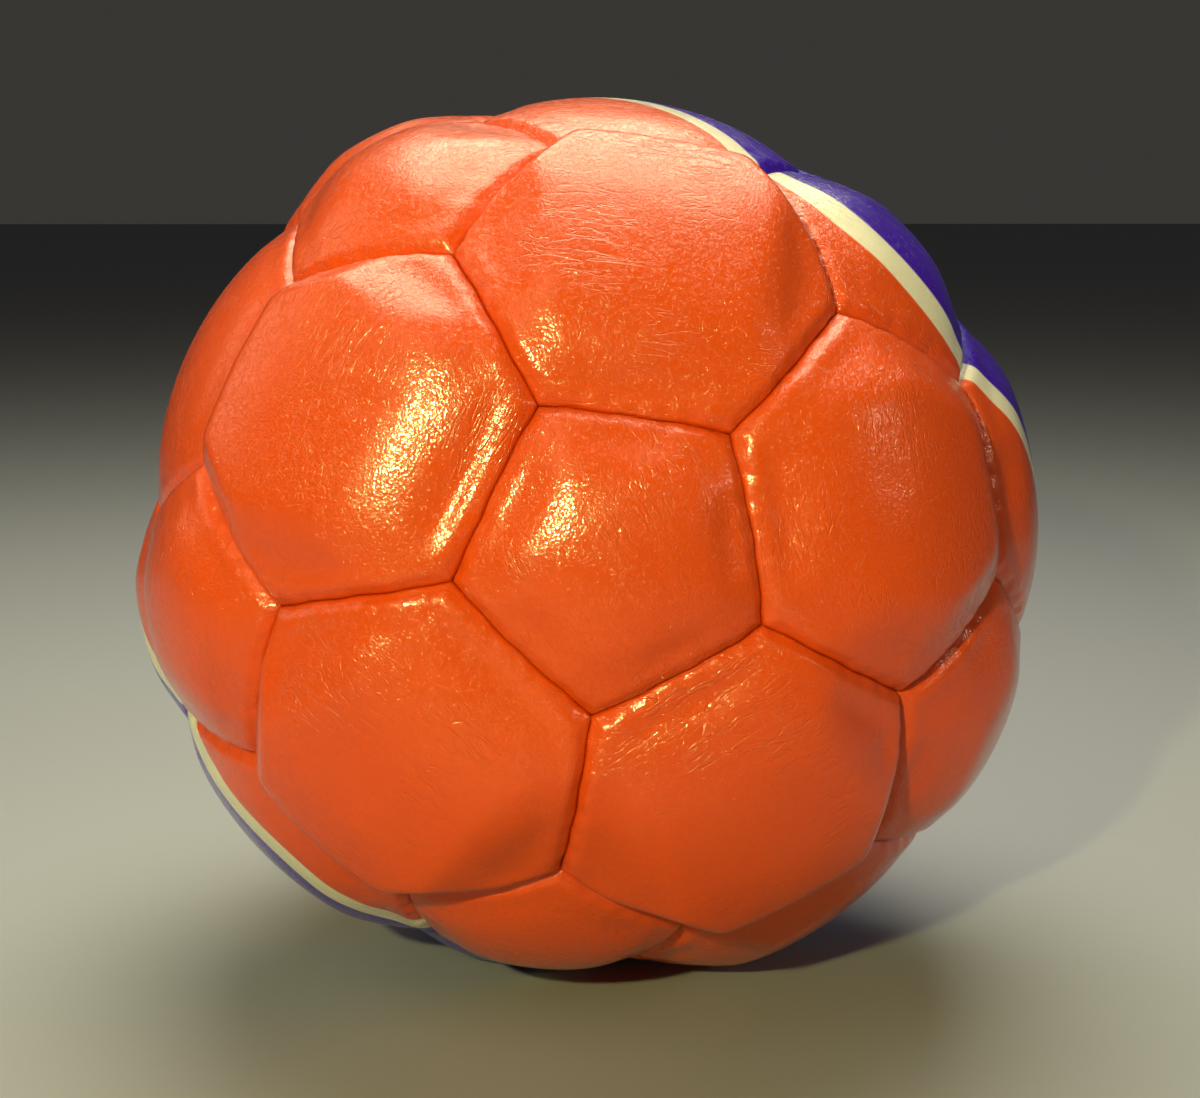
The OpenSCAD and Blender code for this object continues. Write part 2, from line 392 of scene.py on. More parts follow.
def panel_mesh(panel):
    """The panel as one closed skin of leather, with its turned-in edges and its inside."""
    sides = panel.count
    rings = RINGS[sides]
    points, edge_distance, starts, counts = [], [], [], []

    def add(count, ring, distance, lowest=0.0):
        counts.append(count)
        starts.append(sum(len(p) for p in points))
        ring[:, 2] = np.maximum(ring[:, 2], lowest)
        points.append(ring)
        edge_distance.append(np.broadcast_to(distance, len(ring)))

    for i in range(rings + 1):
        fraction = 1 - (1 - i / rings) ** 1.35
        u = ring_directions(panel, i, fraction)
        r, distance, t = surface(panel, u)
        shift = 0
        for k in range(sides):
            fading = np.exp(-np.maximum(u @ panel.inward[k], 0) * MOUTH_R / WANDER_REACH)
            swing = seam_wander(panel, k, np.clip(t[:, k], -1, 1)) * fading
            shift = shift + swing[:, None] * panel.inward[k]
        place = CENTRE + u * r[:, None] + shift
        add(i, place + cloth_shift(panel.node, place, distance), distance)
    # both leathers turn in along the seam's plane
    v = np.arange(sides * rings)
    k = v // rings
    inward = panel.inward[k].copy()
    at_corner = v % rings == 0
    before = panel.inward[k[at_corner] - 1]
    here = panel.inward[k[at_corner]]
    inward[at_corner] = (here + before) / (1 + (here * before).sum(1, keepdims=True))
    outer_face = [(depth, HALF_GAP) for depth in (0.7, 1.6, 2.5, TURN_IN)]
    inner_face = [(depth, HALF_GAP + LEATHER) for depth in (TURN_IN, LEATHER + 0.6)]
    for depth, aside in outer_face + inner_face:
        add(rings, CENTRE + u * (r - depth)[:, None] + shift + inward * aside, -depth)
    # the inside of the leather
    for count in (rings // 2, rings // 4, rings // 8, 0):
        inner_u = ring_directions(panel, count, 0.93 * count * 2 / rings)
        outer_r, distance, t = surface(panel, inner_u)
        outer = CENTRE + inner_u * outer_r[:, None]
        moved = cloth_shift(panel.node, outer, distance)
        add(count, outer + moved - inner_u * LEATHER, -TURN_IN, LEATHER)
    return np.concatenate(points), skin(starts, counts, sides), np.concatenate(edge_distance)


def mesh_object(name, points, faces):
    mesh = bpy.data.meshes.new(name)
    mesh.from_pydata((np.asarray(points) * MM).tolist(), [], [tuple(int(i) for i in f) for f in faces])
    mesh.validate()
    mesh.update()
    mesh.shade_smooth()
    piece = bpy.data.objects.new(name, mesh)
    bpy.context.scene.collection.objects.link(piece)
    return piece


def finish_piece(piece, material, slot, *nodes):
    piece.data.materials.append(material)
    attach(piece, "root")
    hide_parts(*nodes)
    return piece


# ---------------------------------------------------------------- the leather blown up as cloth
CLOTH_RINGS = {5: 13, 6: 15}
CLOTH_FRAMES = 18
CLOTH_CAP = 1.7         # the furthest that a point may move, in mm
CLOTH_BLUR = 2.0        # how far the moves are evened out, in mm
HELD_REACH = 3          # how far from a seam the leather is still held back, in mm


def inflated():
    """How far the outer leather moves, panel by panel, as cloth that is a little too large for its
    seams and is pressed out from inside; its seams are held."""
    places, faces, owners, held = [], [], [], []
    start = 0
    for number, panel in enumerate(PANELS.values()):
        rings = CLOTH_RINGS[panel.count]
        starts = []
        for i in range(rings + 1):
            u = ring_directions(panel, i, 1 - (1 - i / rings) ** 1.15)
            r = surface(panel, u)[0]
            starts.append(start)
            if i == rings:
                held += range(start, start + len(u))
            if i > 0:
                faces += zip_rings(starts[i - 1], i - 1, start, i, panel.count)
            places.append(CENTRE + u * r[:, None])
            owners += [number] * len(u)
            start += len(u)
    places = np.concatenate(places)
    owners = np.array(owners)
    sheet = mesh_object("cover_cloth", places, faces)
    pins = sheet.vertex_groups.new(name="seams")
    pins.add(held, 1, "REPLACE")
    cloth = sheet.modifiers.new("cloth", "CLOTH")
    fabric = cloth.settings
    fabric.quality = 6
    fabric.mass = 0.3
    fabric.vertex_group_mass = "seams"
    fabric.effector_weights.gravity = 0
    fabric.use_pressure = True
    fabric.uniform_pressure_force = 2.5
    fabric.shrink_min = -0.022
    fabric.tension_stiffness = 30
    fabric.compression_stiffness = 30
    fabric.shear_stiffness = 15
    fabric.bending_stiffness = 2.5
    fabric.air_damping = 2
    cloth.point_cache.frame_start = 1
    cloth.point_cache.frame_end = CLOTH_FRAMES
    for frame_number in range(1, CLOTH_FRAMES + 1):
        bpy.context.scene.frame_set(frame_number)
    settled_mesh = sheet.evaluated_get(bpy.context.evaluated_depsgraph_get()).to_mesh()
    after = np.empty(len(places) * 3)
    settled_mesh.vertices.foreach_get("co", after)
    moved = after.reshape(-1, 3) / MM - places
    length = np.maximum(np.linalg.norm(moved, axis=1, keepdims=True), 1e-9)
    moved *= np.tanh(length / CLOTH_CAP) * CLOTH_CAP / length
    bpy.data.objects.remove(sheet)
    bpy.context.scene.frame_set(1)
    return {n: (places[owners == i], moved[owners == i]) for i, n in enumerate(PANELS)}


def cloth_shift(node, points, distance):
    """The simulated move at a panel's own points, evened out between the cloth's points."""
    places, moved = BLOWN[node]
    out = np.empty_like(points)
    for begin in range(0, len(points), 1500):
        part = points[begin : begin + 1500]
        apart = ((part[:, None, :] - places[None, :, :]) ** 2).sum(-1)
        weight = np.exp(-apart / (2 * CLOTH_BLUR**2))
        out[begin : begin + 1500] = weight @ moved / weight.sum(1, keepdims=True)
    return out * smooth_step(distance / HELD_REACH)[:, None]


# ---------------------------------------------------------------- materials
class Nodes:
    """A material's nodes, added and joined in one call each."""

    def __init__(self, name):
        self.material = bpy.data.materials.new(name)
        self.material.use_nodes = True
        self.tree = self.material.node_tree
        self.shader = self.tree.nodes["Principled BSDF"]
        self.place = self.add("ShaderNodeTexCoord").outputs["Object"]

    def add(self, kind, **settings):
        node = self.tree.nodes.new(kind)
        for key, value in settings.items():
            if hasattr(node, key):
                setattr(node, key, value)
            else:
                self.set(node.inputs[key.replace("_", " ")], value)
        return node

    def set(self, socket, value):
        if isinstance(value, bpy.types.NodeSocket):
            self.tree.links.new(value, socket)
        else:
            socket.default_value = value

    def maths(self, operation, *values):
        node = self.add("ShaderNodeMath", operation=operation)
        for socket, value in zip(node.inputs, values):
            self.set(socket, value)
        return node.outputs[0]

    def vector_maths(self, operation, *values):
        node = self.add("ShaderNodeVectorMath", operation=operation)
        for socket, value in zip(node.inputs, values):
            self.set(socket, value)
        return node.outputs["Value" if operation == "DOT_PRODUCT" else "Vector"]

    def noise(self, size, detail=2.0, roughness=0.5, distortion=0.0, place=None):
        """Noise whose features are about size millimetres."""
        node = self.add("ShaderNodeTexNoise")
        self.set(node.inputs["Vector"], place or self.place)
        self.set(node.inputs["Scale"], 1 / (size * MM))
        self.set(node.inputs["Detail"], detail)
        self.set(node.inputs["Roughness"], roughness)
        self.set(node.inputs["Distortion"], distortion)
        return node.outputs["Fac"]

    def cells(self, size):
        """Cells about size millimetres across: a node with their distances and colours."""
        node = self.add("ShaderNodeTexVoronoi")
        self.set(node.inputs["Vector"], self.place)
        self.set(node.inputs["Scale"], 1 / (size * MM))
        return node

    def lines(self, value, width):
        """0 on the lines where a noise crosses its middle value, and 1 away from them."""
        return self.between(self.maths("ABSOLUTE", self.maths("SUBTRACT", value, 0.5)), 0.0, width)

    def between(self, value, low, high, to_low=0.0, to_high=1.0):
        node = self.add("ShaderNodeMapRange", interpolation_type="SMOOTHSTEP")
        for socket, x in zip(node.inputs, (value, low, high, to_low, to_high)):
            self.set(socket, x)
        return node.outputs[0]

    def mix(self, factor, first, second):
        node = self.add("ShaderNodeMix", data_type="RGBA")
        self.set(node.inputs[0], factor)
        for socket, value in zip(node.inputs[6:8], (first, second)):
            if isinstance(value, tuple):
                value = (*value[:3], 1)
            self.set(socket, value)
        return node.outputs[2]

    def bump(self, height, depth, before=None):
        """Raised by depth millimetres where the height is 1."""
        node = self.add("ShaderNodeBump")
        self.set(node.inputs["Height"], height)
        self.set(node.inputs["Distance"], depth * MM)
        self.set(node.inputs["Strength"], 1.0)
        if before is not None:
            self.set(node.inputs["Normal"], before)
        return node.outputs[0]

    def principled(self, **values):
        for key, value in values.items():
            socket = self.shader.inputs[key.replace("_", " ")]
            if isinstance(value, tuple) and len(value) == 3:
                value = (*value, 1)
            self.set(socket, value)
        return self.material


ORANGE = (0.79, 0.080, 0.002)
DEEP_ORANGE = (0.66, 0.056, 0.002)
# painted shade: a darker red put into the seams' turned-in leather in place of the shadow in the seam gaps
PAINTED_SEAM_SHADE = (0.50, 0.035, 0.003)
PRINT_BLUE = (0.045, 0.0, 0.52)
PRINT_WHITE = (0.86, 0.80, 0.72)


# the print: an oval ring about the middle of the back, its long way turned from the ball's own right
BACK = unit(-heading(0, 10) + 0.10 * np.array([0.7, 0, 0.7]))
UP = unit([0, -BACK[2], BACK[1]])
PRINT_TURN = math.radians(46)
LONG_WAY = math.cos(PRINT_TURN) * np.array([1, 0, 0]) + math.sin(PRINT_TURN) * UP
SHORT_WAY = np.cross(BACK, LONG_WAY)
PRINT_LONG = math.radians(119.5)
PRINT_SHORT = math.radians(82)
PRINT_RIM = math.radians(4)
PRINT_WIDTH = math.radians(34)


def misfit(panel):
    """A small misfit of the print on each panel."""
    x, y, z = panel.axis
    return 0.02 * np.array([math.sin(7 * x + 3), math.sin(9 * z), math.cos(5 * x)])


def printed(n, panel, edge):
    """The ink's colour, with painted shade in the seams, and how far the ink covers the leather."""
    # angles from the middle of the back, and the oval's reach in the same direction
    away = n.vector_maths("NORMALIZE", n.vector_maths("SUBTRACT", n.place, tuple(CENTRE * MM)))
    turn = n.maths("ARCCOSINE", n.vector_maths("DOT_PRODUCT", away, tuple(unit(BACK + misfit(panel)))))
    x = n.vector_maths("DOT_PRODUCT", away, tuple(LONG_WAY))
    y = n.vector_maths("DOT_PRODUCT", away, tuple(SHORT_WAY))
    off_axis = n.maths("SQRT", n.maths("ADD", n.maths("MULTIPLY", x, x), n.maths("MULTIPLY", y, y)))
    cosine = n.maths("DIVIDE", x, n.maths("MAXIMUM", off_axis, 0.001))
    squared = n.maths("MULTIPLY", cosine, cosine)
    long_part = n.maths("DIVIDE", squared, PRINT_LONG**2)
    short_part = n.maths("DIVIDE", n.maths("SUBTRACT", 1.0, squared), PRINT_SHORT**2)
    reach = n.maths("INVERSE_SQRT", n.maths("ADD", long_part, short_part))
    inside = n.maths("SUBTRACT", reach, turn)
    # white, blue, white, and the plain leather again in the middle of the back
    ink = n.mix(n.between(inside, PRINT_RIM - 0.004, PRINT_RIM + 0.004), PRINT_WHITE, PRINT_BLUE)
    ink = n.mix(n.between(inside, PRINT_WIDTH - 0.004, PRINT_WIDTH + 0.004), ink, PRINT_WHITE)
    # painted shade in the seam gaps, over the ink too: darker towards and inside the turned-in edges
    ink = n.mix(n.between(edge, 0.9, -0.5, 0.0, 0.7), ink, PAINTED_SEAM_SHADE)
    outer_end = n.between(inside, -0.003, 0.003)
    inner = PRINT_WIDTH + PRINT_RIM
    inner_end = n.between(inside, inner - 0.003, inner + 0.003, 1.0, 0.0)
    return ink, n.maths("MULTIPLY", outer_end, inner_end)


def leather_material(panel):
    """Orange grained leather. A plain blue oval ring with white rims is printed across the back panels."""
    n = Nodes("leather_" + panel.node)
    # places with the panel's own lines of wear drawn out: long along them, short across
    along = n.maths("MULTIPLY", n.vector_maths("DOT_PRODUCT", n.place, tuple(panel.fold_way)), 0.22)
    across = n.vector_maths("DOT_PRODUCT", n.place, tuple(np.cross(panel.axis, panel.fold_way)))
    depth = n.vector_maths("DOT_PRODUCT", n.place, tuple(panel.axis))
    drawn = n.add("ShaderNodeCombineXYZ")
    for socket, value in zip(drawn.inputs, (along, across, depth)):
        n.set(socket, value)
    worn = n.between(n.noise(24, 2.0), 0.46, 0.64)
    creases = n.lines(n.noise(2.6, 2.0, 0.5, 0.6, drawn.outputs[0]), 0.05)
    crackle = n.lines(n.noise(1.5, 3.0, 0.65, 0.9), 0.05)
    normal = n.bump(n.noise(2.4, 3.0, 0.6), 0.10)
    normal = n.bump(n.maths("MULTIPLY", creases, worn), 0.10, normal)
    normal = n.bump(crackle, 0.035, normal)
    normal = n.bump(n.cells(0.75).outputs["Distance"], 0.05, normal)
    normal = n.bump(n.noise(0.42, 2.0, 0.6), 0.03, normal)
    edge = n.add("ShaderNodeAttribute", attribute_name="edge").outputs["Fac"]
    colour = n.mix(n.between(n.noise(45, 2.0), 0.3, 0.7, 0.0, 0.25), ORANGE, DEEP_ORANGE)
    # painted shade in the seam gaps: darker towards and inside the turned-in edges
    colour = n.mix(n.between(edge, 0.8, -0.5, 0.0, 0.8), colour, PAINTED_SEAM_SHADE)
    ink, covered = printed(n, panel, edge)
    colour = n.mix(covered, colour, ink)
    rough = n.between(worn, 0.0, 1.0, 0.20, 0.27)
    n.principled(Coat_Weight=0.75, Coat_Roughness=0.14, Coat_Normal=normal)
    return n.principled(Base_Color=colour, Roughness=rough, Normal=normal, Specular_IOR_Level=0.15)


# ---------------------------------------------------------------- the cover
BLOWN = inflated()
for node, panel in PANELS.items():
    points, faces, distance = panel_mesh(panel)
    piece = mesh_object(node + "_leather", points, faces)
    attribute = piece.data.attributes.new("edge", "FLOAT", "POINT")
    attribute.data.foreach_set("value", distance.astype(np.float32))
    finish_piece(piece, leather_material(panel), "orange_leather", node)


# ---------------------------------------------------------------- the threads
def tube(path, radius, sides=5, closed=False):
    """A round thread along a path; its ends are closed to points."""
    path = np.asarray(path, float)
    n = len(path)
    if closed:
        way = unit(np.roll(path, -1, 0) - np.roll(path, 1, 0))
    else:
        way = unit(np.gradient(path, axis=0))
    out = unit(path - CENTRE)
    across = unit(np.cross(way, out))
    out = np.cross(across, way)
    a = np.arange(sides) * 2 * math.pi / sides
    ring = across[:, None, :] * np.cos(a)[None, :, None] + out[:, None, :] * np.sin(a)[None, :, None]
    points = (path[:, None, :] + ring * radius).reshape(-1, 3)
    faces = []
    for i in range(n if closed else n - 1):
        j = (i + 1) % n
        for k in range(sides):
            m = (k + 1) % sides
            faces.append((i * sides + k, i * sides + m, j * sides + m, j * sides + k))
    if not closed:
        points = np.concatenate([points, path[:1] - way[:1] * radius, path[-1:] + way[-1:] * radius])
        for k in range(sides):
            m = (k + 1) % sides
            faces.append((n * sides, m, k))
            faces.append((n * sides + 1, (n - 1) * sides + k, (n - 1) * sides + m))
    return points, faces


def joined(parts):
    """Several meshes as one list of points and one of faces."""
    points, faces, start = [], [], 0
    for p, f in parts:
        points.append(p)
        faces += [tuple(i + start for i in face) for face in f]
        start += len(p)
    return np.concatenate(points), faces


def seam_point(panel, k, t, depth, aside):
    """A place in a seam: t along it, a depth below its mouth, and aside from its plane."""
    angle = panel.half[k] * t
    u = unit(panel.middle[k] * math.cos(angle) + panel.along[k] * math.sin(angle))
    r = mouth_radius(panel.keys[k], u[None, :])[0]
    return CENTRE + u * (r - depth) + panel.inward[k] * (aside + seam_wander(panel, k, np.array(t)))


# a thread's way past one hole: how far along, in stitches, and how far to the side
THROUGH_HOLE = ((-0.42, 1), (-0.1, 1), (-0.03, 0.75), (0.03, -0.75), (0.1, -1), (0.42, -1))


def saddle_stitches(seam):
    """Two threads that cross through every pair of awl holes and run along either side."""
    panel = PANELS[BESIDE[seam][0]]
    k = panel.keys.index(frozenset(seam))
    parts = []
    beside = HALF_GAP + LEATHER + THREAD / 2
    for first in (1, -1):
        path = []
        for hole in range(STITCHES):
            t = (2 * hole + 1) / STITCHES - 1
            way = first * (-1) ** hole
            for step, across in THROUGH_HOLE:
                depth = STITCH_DEPTH + 0.25 * first * (abs(across) < 1)
                path.append(seam_point(panel, k, t + step * 2 / STITCHES, depth, way * across * beside))
        parts.append(tube(path, THREAD / 2))
    return joined(parts)


# the last panel to be sewn in is the rearmost, and its upper seams are drawn shut from outside
LAST_PANEL = PANELS[max(HEXAGONS, key=lambda node: PANELS[node].axis[1])]
UPPER = [key for key, middle in zip(LAST_PANEL.keys, LAST_PANEL.middle) if middle[2] > LAST_PANEL.axis[2]]
CLOSING = [s for s in SEAMS if frozenset(s) in UPPER]


def thread_material(name, colour):
    """A laid thread: fine oblique ridges, with painted shade in the hollows between them."""
    n = Nodes(name)
    wave = n.add("ShaderNodeTexWave", wave_type="BANDS", bands_direction="DIAGONAL")
    n.set(wave.inputs["Vector"], n.place)
    n.set(wave.inputs["Scale"], 420.0)
    n.set(wave.inputs["Distortion"], 1.5)
    normal = n.bump(wave.outputs["Fac"], 0.12)
    # painted shade: the thread's colour darkened where its ridges dip into hollows
    shade = tuple(c * 0.55 for c in colour)
    mixed = n.mix(n.between(wave.outputs["Fac"], 0.2, 0.8), shade, colour)
    return n.principled(Base_Color=mixed, Roughness=0.5, Normal=normal)


waxed = thread_material("waxed_thread", (0.30, 0.035, 0.010))
sewn = [s for s in SEAMS if s not in CLOSING]
piece = mesh_object("seam_stitches", *joined([saddle_stitches(s) for s in sewn]))
finish_piece(piece, waxed, "waxed_thread", "seam_thread")
piece = mesh_object("closing_stitches", *joined([saddle_stitches(s) for s in CLOSING]))
finish_piece(piece, waxed, "waxed_thread", "closing_thread")


# ---------------------------------------------------------------- the wadding pads
PAD_SIDE = HALF_GAP + LEATHER + THREAD + 0.3
PAD_RINGS = 12


def pad_mesh(panel):
    """The cushion of wadding behind a panel, down to the lining bag."""
    inset = PAD_SIDE / MOUTH_R / math.tan(math.asin(min(panel.inward[0] @ panel.axis, 1)))
    starts, counts, rings = [], [], []

    def add(count, fraction, low, high, share):
        u = ring_directions(panel, count, fraction)
        outer = surface(panel, u)[0] - LEATHER - 1.2
        inner = LINING_R + sunk(u) + 1.1
        r = inner + (outer - inner) * share + low + (high - low) * 0.5 * noise(u * 100, 5, 9)
        place = CENTRE + u * r[:, None]
        place[:, 2] = np.maximum(place[:, 2], LEATHER + 0.2)
        starts.append(sum(len(x) for x in rings))
        counts.append(count)
        rings.append(place)

    widest = 1 - inset
    for i in range(PAD_RINGS + 1):
        part = i / PAD_RINGS
        add(i * 2, widest * part, 0, -0.5 if i < PAD_RINGS else 0, 1 - 0.25 * part**6)
    for share in (0.5, 0.2):
        add(PAD_RINGS * 2, widest, 0, 0, share)
    for i in (PAD_RINGS * 2 - 2, PAD_RINGS, PAD_RINGS // 2, 0):
        add(i, widest * i / PAD_RINGS / 2, 0, 0, 0)
    return np.concatenate(rings), skin(starts, counts, panel.count)


def wadding_material():
    n = Nodes("wadding")
    fluff = n.noise(2.2, 5.0, 0.7, 1.5)
    clump = n.noise(14, 3.0, 0.6)
    normal = n.bump(clump, 1.2)
    normal = n.bump(fluff, 0.8, normal)
    # painted shade: the wadding is lighter on its raised clumps, darker in their hollows, and darker again
    # in the hollows of its fluff
    colour = n.mix(n.between(clump, 0.3, 0.7), (0.55, 0.52, 0.46), (0.78, 0.76, 0.71))
    colour = n.mix(n.between(fluff, 0.6, 0.35, 0.0, 0.5), colour, (0.34, 0.32, 0.28))
    return n.principled(Base_Color=colour, Roughness=0.95, Normal=normal, Sheen_Weight=0.3)


wadding = wadding_material()
for node, members in (("pentagon_pads", PENTAGONS), ("hexagon_pads", HEXAGONS)):
    piece = mesh_object(node + "_wadding", *joined([pad_mesh(PANELS[m]) for m in members]))
    finish_piece(piece, wadding, "wadding", node)


# ---------------------------------------------------------------- round pieces inside
def revolved(profile, around, change=None):
    """A closed solid turned about the ball's upright line, from a profile of (radius, height) that
    begins and ends on that line; change(points, direction) alters its places."""
    profile = np.array(profile, float)
    azimuth = np.arange(around) * 2 * math.pi / around
    body = profile[1:-1]
    x = body[:, None, 0] * np.cos(azimuth)[None, :]
    y = body[:, None, 0] * np.sin(azimuth)[None, :]
    z = np.broadcast_to(body[:, 1][:, None], x.shape)
    points = np.stack([x, y, z], -1).reshape(-1, 3)
    points = np.concatenate([points, [[0, 0, profile[0, 1]], [0, 0, profile[-1, 1]]]])
    rows = len(body)
    faces = []
    for i in range(rows - 1):
        for j in range(around):
            m = (j + 1) % around
            faces.append((i * around + j, i * around + m, (i + 1) * around + m, (i + 1) * around + j))
    for j in range(around):
        m = (j + 1) % around
        faces.append((rows * around, m, j))
        faces.append((rows * around + 1, (rows - 1) * around + j, (rows - 1) * around + m))
    if change is not None:
        points = change(points)
    return points + CENTRE, faces


def arc(radius, start, end, steps):
    """Points of a circle about the ball's centre, from one elevation to another."""
    angles = np.radians(np.linspace(start, end, steps))
    return [(radius * math.cos(a), radius * math.sin(a)) for a in angles]


def settle(points, wrinkle=0.0, size=9.0, seed=3):
    """Moves points with the settled cover, and wrinkles them."""
    r = np.maximum(np.linalg.norm(points, axis=1), 1e-6)
    u = points / r[:, None]
    share = smooth_step((r - 55) / 50)
    out = share * sunk(u) + wrinkle * noise(points, size, seed)
    return points + u * out[:, None]


def outward(faces, points):
    """The same faces, turned so that the solid's skin faces out."""
    tri = [(f[0], f[i], f[i + 1]) for f in faces for i in range(1, len(f) - 1)]
    p = points[np.array(tri)]
    volume = np.einsum("ij,ij->i", p[:, 0], np.cross(p[:, 1], p[:, 2])).sum()
    return faces if volume > 0 else [f[::-1] for f in faces]


def turned_piece(name, profile, around, change, material, slot, node):
    points, faces = revolved(profile, around, change)
    piece = mesh_object(name, points, outward(faces, points - CENTRE))
    return finish_piece(piece, material, slot, node)


LINING = 0.8
STUFFING_R = LINING_R - LINING - 0.9
BAG_R = (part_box("weight_bag")[1][0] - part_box("weight_bag")[0][0]) / MM / 2
CANVAS = 1.0
SAND_R = (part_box("sand")[1][0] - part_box("sand")[0][0]) / MM / 2
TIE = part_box("bag_tie")
TIE_THICK = (TIE[1][2] - TIE[0][2]) / MM
TIE_R = (TIE[1][0] - TIE[0][0]) / MM / 2 - TIE_THICK / 2
TIE_Z = (TIE[1][2] + TIE[0][2]) / 2 / MM - CENTRE[2]
NECK_R = TIE_R - TIE_THICK / 2
BAG_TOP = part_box("weight_bag")[1][2] / MM - CENTRE[2]
FRILL_R = 13.5


def cloth_material(name, light, dark, thread_size, fuzz=0.2):
    """Plain woven cloth: two crossing sets of threads with painted shade between them, and uneven dye."""
    n = Nodes(name)
    waves = []
    for direction in ("X", "Z"):
        wave = n.add("ShaderNodeTexWave", wave_type="BANDS", bands_direction=direction)
        n.set(wave.inputs["Vector"], n.place)
        n.set(wave.inputs["Scale"], 0.31 / (thread_size * MM))
        n.set(wave.inputs["Distortion"], 0.6)
        waves.append(wave.outputs["Fac"])
    weave = n.maths("MULTIPLY", *waves)
    creases = n.noise(11, 3.0, 0.55, 0.8)
    normal = n.bump(creases, 0.5)
    normal = n.bump(weave, thread_size * 0.25, normal)
    # painted shade between the threads: darker where the weave lies low, lighter where it is raised
    colour = n.mix(n.between(weave, 0.0, 0.6), dark, light)
    colour = n.mix(n.between(n.noise(30, 2.0), 0.35, 0.7, 0.0, 0.35), colour, dark)
    return n.principled(Base_Color=colour, Roughness=0.9, Normal=normal, Sheen_Weight=fuzz)


def stuffing_material():
    """Torn textile: scraps of many dull colours, felted together."""
    n = Nodes("textile_stuffing")
    scraps = n.cells(7)
    split = n.add("ShaderNodeSeparateColor")
    n.set(split.inputs[0], scraps.outputs["Color"])
    fibre = n.noise(1.6, 4.0, 0.7, 2.0)
    ramp = n.add("ShaderNodeValToRGB")
    n.set(ramp.inputs[0], split.outputs[0])
    stops = [
        (0.0, (0.16, 0.17, 0.20)),
        (0.25, (0.42, 0.40, 0.37)),
        (0.45, (0.11, 0.16, 0.26)),
        (0.6, (0.34, 0.14, 0.10)),
        (0.78, (0.50, 0.47, 0.40)),
        (0.92, (0.20, 0.25, 0.20)),
    ]
    ramp.color_ramp.interpolation = "CONSTANT"
    while len(ramp.color_ramp.elements) < len(stops):
        ramp.color_ramp.elements.new(0.5)
    for element, (place, colour) in zip(ramp.color_ramp.elements, stops):
        element.position = place
        element.color = (*colour, 1)
    colour = n.mix(n.between(fibre, 0.35, 0.65, 0.0, 0.45), ramp.outputs[0], (0.45, 0.43, 0.40))
    normal = n.bump(scraps.outputs["Distance"], 1.0)
    normal = n.bump(fibre, 0.6, normal)
    return n.principled(Base_Color=colour, Roughness=0.95, Normal=normal, Sheen_Weight=0.3)


def sand_material():
    n = Nodes("sand")
    grains = n.cells(0.9)
    split = n.add("ShaderNodeSeparateColor")
    n.set(split.inputs[0], grains.outputs["Color"])
    colour = n.mix(split.outputs[0], (0.32, 0.23, 0.13), (0.66, 0.54, 0.37))
    colour = n.mix(n.between(split.outputs[1], 0.85, 0.9), colour, (0.10, 0.08, 0.07))
    normal = n.bump(grains.outputs["Distance"], -0.5)
    return n.principled(Base_Color=colour, Roughness=0.8, Normal=normal)


def wrinkled(points):
    return settle(points, 0.22, 8)


lining = cloth_material("lining_cotton", (0.74, 0.70, 0.61), (0.50, 0.46, 0.38), 0.9)
for name, side in (("lower_lining", -1), ("upper_lining", 1)):
    profile = [(0, side * LINING_R)] + arc(LINING_R, side * 88, side * 0.28, 44)
    profile += arc(LINING_R - LINING, side * 0.28, side * 88, 44) + [(0, side * (LINING_R - LINING))]
    piece = turned_piece(name + "_bowl", profile, 128, wrinkled, lining, "lining_cotton", name)

# overcast stitches round the meeting edges of the two bowls
TURNS = 150
steps = np.arange(TURNS * 8)
turn = steps / len(steps) * 2 * math.pi
wrap = steps / 8 * 2 * math.pi
circle_r = LINING_R - LINING / 2
flat = np.stack([np.cos(turn), np.sin(turn), np.zeros(len(steps))], 1)
path = flat * (circle_r + 0.62 * np.cos(wrap))[:, None]
path = path + np.array([0, 0, 1.3]) * np.sin(wrap)[:, None]
path = settle(path) + CENTRE
piece = mesh_object("lining_stitches", *tube(path, 0.28, 5, True))
lining_thread = thread_material("lining_thread", (0.70, 0.66, 0.58))
finish_piece(piece, lining_thread, "lining_cotton_thread", "lining_thread")


def lumpy(points):
    return settle(points, 0.4, 6, 8)


stuffing = stuffing_material()
profile = [(0, -STUFFING_R)] + arc(STUFFING_R, -88, 0, 40) + [(STUFFING_R, -0.1), (60, -0.1)]
profile += arc(BAG_R + 0.6, 0, -86, 20) + [(0, -BAG_R - 0.6)]
name = "lower_stuffing"
piece = turned_piece(name + "_layer", profile, 120, lumpy, stuffing, "textile_stuffing", name)

# the upper layer has a pocket for the bag's neck and frill
POCKET_R = FRILL_R + 1.5
POCKET_TOP = BAG_TOP + 1
profile = [(0, STUFFING_R)] + arc(STUFFING_R, 88, 0, 40) + [(80, 0.1), (60, 0.1)]
profile[40] = (STUFFING_R, 0.1)
profile += arc(BAG_R + 0.6, 0, math.degrees(math.acos(POCKET_R / (BAG_R + 0.6))), 18)
profile += [(POCKET_R, POCKET_TOP - 8), (POCKET_R, POCKET_TOP - 2)]
profile += [(POCKET_R - 3, POCKET_TOP), (0, POCKET_TOP)]
name = "upper_stuffing"
piece = turned_piece(name + "_layer", profile, 120, lumpy, stuffing, "textile_stuffing", name)


# ---------------------------------------------------------------- the weight bag, its tie and the sand
PLEATS = 17


